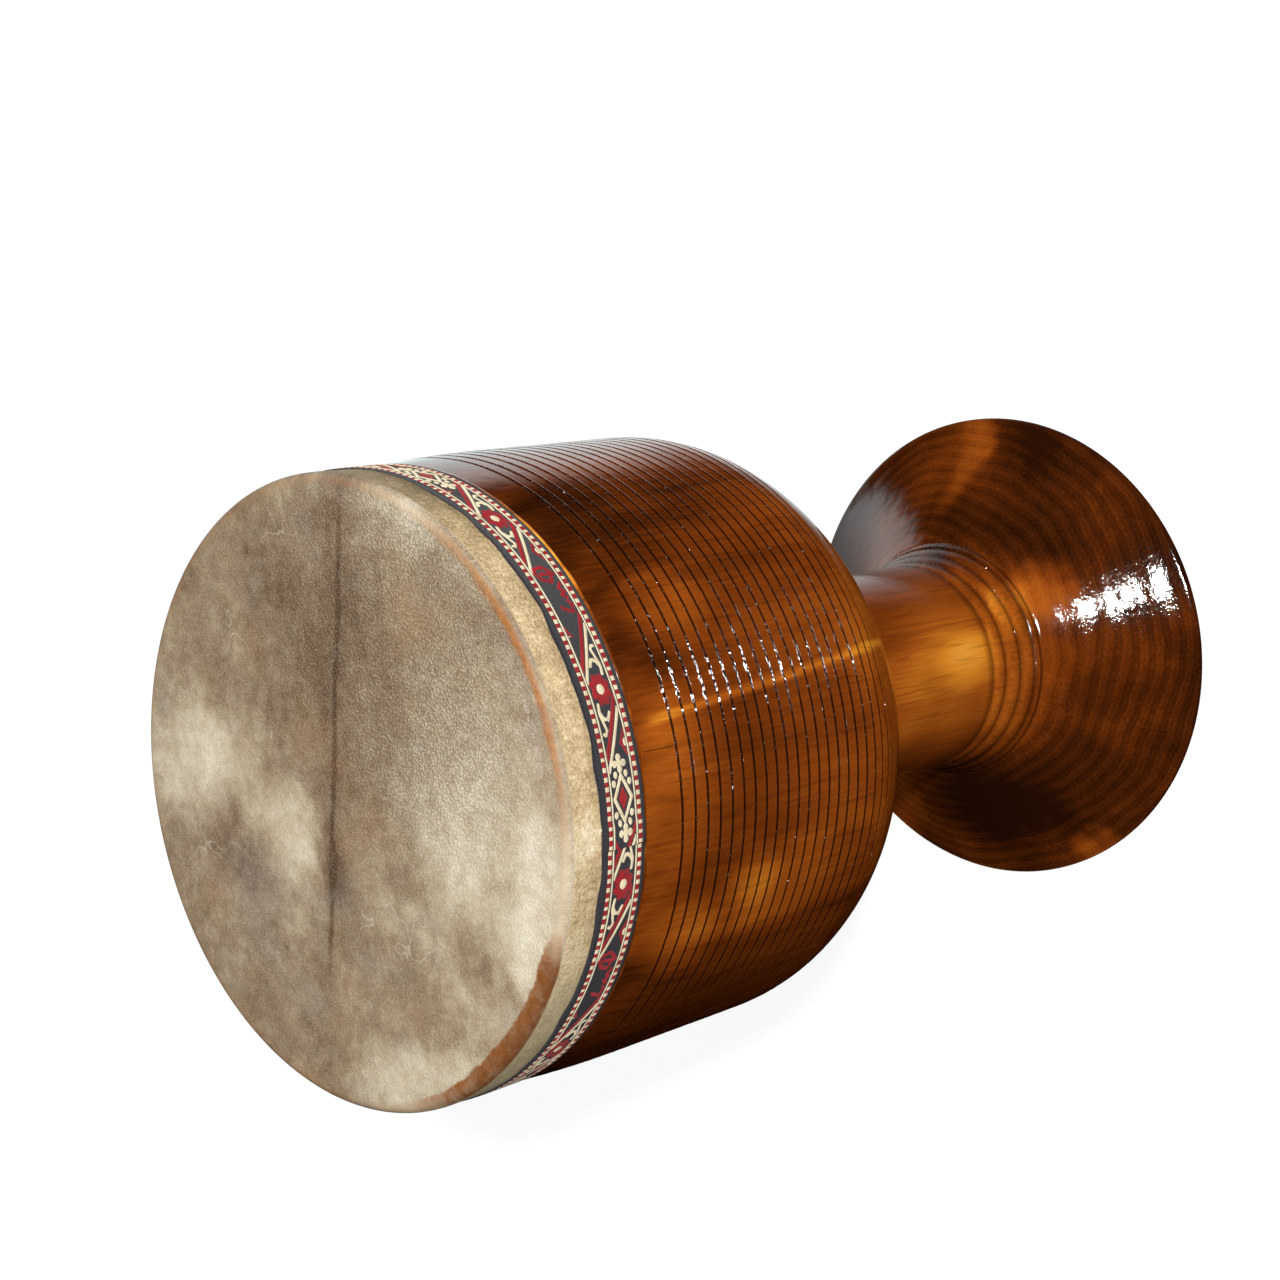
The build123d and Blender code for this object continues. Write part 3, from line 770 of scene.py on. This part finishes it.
def pattern(along, across):
    """The yarn that shows at each place of the ribbon: 0 for the ground, RED or CREAM.

    across runs up towards the head. The motifs below are written with y towards the bowl."""
    along, across = np.broadcast_arrays(along, across)
    y = -(across - (FIELD_TOP + FIELD_BOTTOM) / 2)
    shade = np.zeros(along.shape, dtype=int)
    inside = (across < FIELD_TOP) & (across > FIELD_BOTTOM)

    def lay(mask, colour):
        shade[mask & inside] = colour

    number = np.floor((along - FLOWER + BAR + 4.9) / HALF_PERIOD)
    x = along - FLOWER - number * HALF_PERIOD

    # flower with eight petals, between two scrolls that are each other turned half round
    turn = np.arctan2(y / 5.1, x / 6.3)
    reach = np.hypot(x / 6.3, y / 5.1)
    petals = 0.80 + 0.24 * np.abs(np.cos(4 * (turn - radians(22.5))))
    lay(reach < petals, RED)
    lay(in_round(x, y, 0, 0, 2.0, 1.9), CREAM)
    for side in (1, -1):
        u, w = x * side, y * side
        lay(near_line(u, w, [(5.7, -3.7), (8.5, -4.2), (11.2, -2.6), (11.6, -0.6), (9.2, 0.8)], 1.5), CREAM)
        tendril = [(9.4, -4.3), (13.0, -3.3), (15.6, -2.6), (17.2, -3.6), (16.9, -4.6)]
        lay(near_line(u, w, tendril, 1.3), CREAM)

    # slanting bars, each a cream stripe beside a red one
    for bar in (-BAR, BAR, HALF_PERIOD - BAR):
        lay(near_line(x, y, [(bar - 2.4 - 11.5, 5.49), (bar - 2.4 + 11.5, -5.49)], 1.9), RED)
        lay(near_line(x, y, [(bar + 2.4 - 11.5, 5.49), (bar + 2.4 + 11.5, -5.49)], 1.5), CREAM)

    # half diamonds on the edges of the wide field
    for cx, side in ((20.9, 1), (HALF_PERIOD - BAR - 4.0, -1)):
        edge_y = 5.4 * side
        lay(in_diamond(x, y, cx, edge_y, 5.6, 3.2), RED)
        lay(in_diamond(x, y, cx, edge_y, 2.8, 1.4), 0)
        lay(in_round(x, y, cx, edge_y - 0.3 * side, 1.5, 1.0), CREAM)

    # in every other wide field, a cream diamond with a red heart, set about with dots
    middle = HALF_PERIOD / 2
    odd = np.mod(number, 2) == 1
    u = x - middle
    diamond = odd & (in_diamond(u, y, 0, 0, 10.2, 5.4) & ~in_diamond(u, y, 0, 0, 6.9, 3.5))
    dots = np.zeros_like(diamond)
    for a in (-1, 1):
        for b in (-1, 1):
            dots |= in_round(u, y, 5.9 * a, 4.1 * b, 1.4, 1.15) | in_round(u, y, 9.0 * a, 2.7 * b, 1.35, 1.1)
        for cx, cy in ((10.9, 0), (15.2, 0), (13.0, 2.3), (13.0, -2.3)):
            dots |= in_round(u, y, cx * a, cy, 1.45, 1.35)
        dots |= in_round(u, y, 13.0 * a, 0, 1.6, 1.3)
    lay(diamond, CREAM)
    lay(odd & in_diamond(u, y, 0, 0, 4.7, 2.5), RED)
    lay(odd & dots, CREAM)

    # in the fields between, a loose red spray of a bud, a twig and a hook
    bud = [(-9.5, 3.6), (-12.2, 0.8), (-11.6, -3.4), (-9.4, -4.4), (-6.2, -2.6), (-4.8, 1.2), (-7.0, 2.6)]
    spray = near_line(u, y, bud, 1.7)
    spray |= near_line(u, y, [(-8.2, 4.6), (-8.6, 1.0), (-8.8, -1.8)], 1.7)
    spray |= near_line(u, y, [(-3.6, 4.6), (-1.6, 2.6), (0.2, 4.4), (1.6, 2.2), (3.0, 4.2)], 1.6)
    spray |= near_line(u, y, [(4.6, 3.4), (6.4, 4.6), (9.4, 3.2), (8.2, 0.6), (7.0, -1.4)], 1.6)
    lay(~odd & spray, RED)

    # borders: a cream cord and a row of red and cream dashes beyond it, on each side of the field
    dash = np.where(np.mod(along, 3.65) < 1.65, CREAM, RED)
    for low, high, dash_low, dash_high in ((5.45, 6.35, 6.70, 8.75), (-6.80, -5.90, -9.20, -7.15)):
        shade[(across > low) & (across < high)] = CREAM
        row = (across > dash_low) & (across < dash_high)
        shade = np.where(row, dash, shade)
    return shade


def make_ribbon(ground, red, cream):
    """The black strip, and each float of pattern yarn lying on it as a small raised thread."""
    stations = np.arange(-LAP, AROUND + 0.01, 1.5)
    stations = np.append(stations, AROUND)
    across = np.linspace(-RIBBON_WIDTH / 2, RIBBON_WIDTH / 2, 23)
    face = [(y, RIBBON_THICK) for y in across]
    back = [(y, 0.0) for y in across[::-1]]
    loop = np.array(face + back)
    verts = on_ribbon(stations[:, None], loop[None, :, 0], loop[None, :, 1])
    rows, count = len(stations), len(loop)
    faces = []
    for i in range(rows - 1):
        for j in range(count):
            k = (j + 1) % count
            faces.append((i * count + j, i * count + k, (i + 1) * count + k, (i + 1) * count + j))
    faces.append(tuple(range(count))[::-1])
    faces.append(tuple((rows - 1) * count + j for j in range(count)))
    strip = new_object("ribbon_strip", verts.reshape(-1, 3), faces, ground)
    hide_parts("ribbon")

    pitch = 0.45
    rows_x = np.arange(pitch / 2, AROUND - 0.1, pitch)
    sample = np.arange(-RIBBON_WIDTH / 2 + 0.3, RIBBON_WIDTH / 2 - 0.3, 0.05)
    shades = pattern(rows_x[:, None], sample[None, :])
    pieces = []
    for colour, material, name in ((RED, red, "ribbon_red_yarn"), (CREAM, cream, "ribbon_cream_yarn")):
        mask = np.pad(shades == colour, ((0, 0), (1, 1)))
        edges = np.diff(mask.astype(int), axis=1)
        row_a, start = np.nonzero(edges == 1)
        _, end = np.nonzero(edges == -1)
        x = rows_x[row_a]
        low = sample[start]
        high = sample[np.clip(end - 1, 0, len(sample) - 1)]
        keep = high - low > 0.25
        x, low, high = x[keep], low[keep], high[keep]
        taper = np.minimum(0.28, (high - low) * 0.3)
        places = np.stack([low, low + taper, high - taper, high], axis=1)
        rise = np.array([0.03, 0.17, 0.17, 0.03])
        sides = ((-0.24, 0.0), (-0.12, 0.85), (0.12, 0.85), (0.24, 0.0))
        rings = []
        for offset, share in sides:
            lift = RIBBON_THICK - 0.02 + rise[None, :] * share
            rings.append(on_ribbon(x[:, None] + offset, places, lift))
        points = np.stack(rings, axis=1)               # float, side, station, xyz
        floats = len(x)
        base = np.arange(floats)[:, None] * 16
        quads = []
        for side in range(3):
            for station in range(3):
                a = side * 4 + station
                quads.append([a, a + 1, a + 5, a + 4])
        quads += [[0, 12, 13, 1], [1, 13, 14, 2], [2, 14, 15, 3], [0, 4, 8, 12], [3, 7, 11, 15]]
        quads = np.array(quads)
        faces = (base[:, :, None] + quads[None]).reshape(-1, 4)
        made = new_object(name, points.reshape(-1, 3), faces, material)
        pieces.append(made)
    return strip, pieces


# ---------------------------------------------------------------- glue bead
def make_bead(material):
    """The line of glue along the ribbon's lower edge, thick in places and thin in others."""
    turns, sides = 720, 9
    phi = np.arange(turns) * 2 * pi / turns
    random = np.random.default_rng(3)
    thick = np.full(turns, 0.55)
    for waves in (3, 5, 8, 13, 21, 34, 55):
        thick += 0.10 * np.sin(waves * phi + random.uniform(0, 2 * pi))
    degrees = np.degrees(phi)
    thick += 0.65 * np.exp(-(((degrees - 44) / 15) ** 2))
    thick = np.clip(thick, 0.22, 1.5)
    angle = np.linspace(-pi / 2, pi / 2, sides)
    tall = 1.1 + thick * 1.1
    radius = SKIN_R - 0.10 + np.cos(angle)[None, :] * (0.16 + 0.34 * thick)[:, None]
    centre = RIBBON_BOTTOM + 0.1 + tall / 2
    depth = centre[:, None] + np.sin(angle)[None, :] * tall[:, None] / 2
    depth = np.maximum(depth, RIBBON_BOTTOM - 0.35)
    bead = new_object("glue_bead_line", round_points(radius, depth, phi), round_faces(turns, sides), material)
    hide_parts("glue_bead")


# ---------------------------------------------------------------- stage
KEY_DIRECTION = Vector((0.27, -0.64, 0.72))
KEY_DISTANCE = 3.0
CAMERA_PLACE = Vector((0.1370, -0.7233, 1.0360))


def stage_plane(name, corners, colour, glow):
    """A flat stage object of a plain material, which glows a little by itself."""
    mesh = bpy.data.meshes.new(name)
    mesh.from_pydata(corners, [], [(0, 1, 2, 3)])
    obj = bpy.data.objects.new(name, mesh)
    bpy.context.collection.objects.link(obj)
    material = bpy.data.materials.new(name)
    material.use_nodes = True
    shader = material.node_tree.nodes["Principled BSDF"]
    shader.inputs["Base Color"].default_value = colour
    shader.inputs["Roughness"].default_value = 1.0
    shader.inputs["Specular IOR Level"].default_value = 0.0
    shader.inputs["Emission Color"].default_value = (1, 1, 1, 1)
    shader.inputs["Emission Strength"].default_value = glow
    material.cycles.emission_sampling = "NONE"
    mesh.materials.append(material)
    return obj


def make_floor():
    """A pale floor that only the camera sees, and a bright card on it that is seen only in reflections."""
    half = 60.0
    floor = stage_plane("floor", [(-half, -half, 0), (half, -half, 0), (half, half, 0), (-half, half, 0)],
                        (0.22, 0.22, 0.22, 1), 0.87)
    floor.visible_glossy = False
    floor.visible_diffuse = False
    card = stage_plane("card", [(0, -0.20, 0.002), (9.0, 4.86, 0.002), (9.0, 9.0, 0.002), (0, 9.0, 0.002)],
                       (0, 0, 0, 1), 0.0)
    card.visible_camera = card.visible_diffuse = card.visible_shadow = False
    p = Paint("card_faded", card.active_material)
    inward = p.add(p.times(p.x, -0.49), p.times(p.y, 0.87))
    p.finish(Emission_Strength=p.times(p.step(inward, -0.13, 0.06), p.step(p.x, 0.0, 0.16), 1.25),
             Emission_Color=(0.85, 0.98, 1.0, 1))


def make_world():
    world = bpy.data.worlds.new("studio")
    world.use_nodes = True
    world.node_tree.nodes["Background"].inputs[0].default_value = (0.96, 0.98, 1.0, 1)
    world.node_tree.nodes["Background"].inputs[1].default_value = 0.30
    world.cycles_visibility.glossy = False
    bpy.context.scene.world = world


def area_light(name, place, aim, size, power, colour=(1, 1, 1)):
    """A round soft lamp at a place, turned towards the point that it is aimed at."""
    data = bpy.data.lights.new(name, "AREA")
    data.shape = "DISK"
    data.size = size
    data.energy = power
    data.color = colour
    obj = bpy.data.objects.new(name, data)
    obj.location = place
    obj.rotation_euler = (Vector(aim) - Vector(place)).to_track_quat("-Z", "Y").to_euler()
    bpy.context.collection.objects.link(obj)
    return obj


def make_lights():
    middle = Vector((0, 0, HEIGHT / 2))
    place = middle + KEY_DIRECTION.normalized() * KEY_DISTANCE
    area_light("key", place, middle, 0.17, 100.0, (1.0, 0.97, 0.92))
    fill = area_light("fill", middle + Vector((1.6, -0.6, 1.2)), middle, 1.6, 9.0)
    fill.visible_glossy = False


def make_camera():
    """Looks at the drum from its head's side, and rolled so that the drum's +X is up."""
    look = Vector((-0.0927, 0.6885, -0.7193)).normalized()
    up = Vector((0.9918, 0.0, -0.1279))
    right = look.cross(up).normalized()
    up = right.cross(look).normalized()
    data = bpy.data.cameras.new("camera")
    data.lens = 65.15
    data.sensor_width = 36.0
    data.clip_start = 0.05
    camera = bpy.data.objects.new("camera", data)
    camera.matrix_world = Matrix.Translation(CAMERA_PLACE) @ Matrix((right, up, -look)).transposed().to_4x4()
    bpy.context.collection.objects.link(camera)
    bpy.context.scene.camera = camera


# ---------------------------------------------------------------- the drum
glue_material = amber_glue()
make_shell(walnut())
skin = make_skin(goat_skin())
strip, yarns = make_ribbon(
    ribbon_ground(),
    yarn("yarn_red", linear(84, 6, 14), linear(158, 13, 26), linear(198, 36, 42)),
    yarn("yarn_cream", linear(168, 148, 112), linear(232, 218, 184), linear(250, 242, 220)))
make_bead(glue_material)
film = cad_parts["hide_glue"].data.materials
film.clear()
film.append(glue_material)

make_floor()
make_world()
make_lights()
make_camera()
bpy.context.scene.view_settings.view_transform = "Standard"
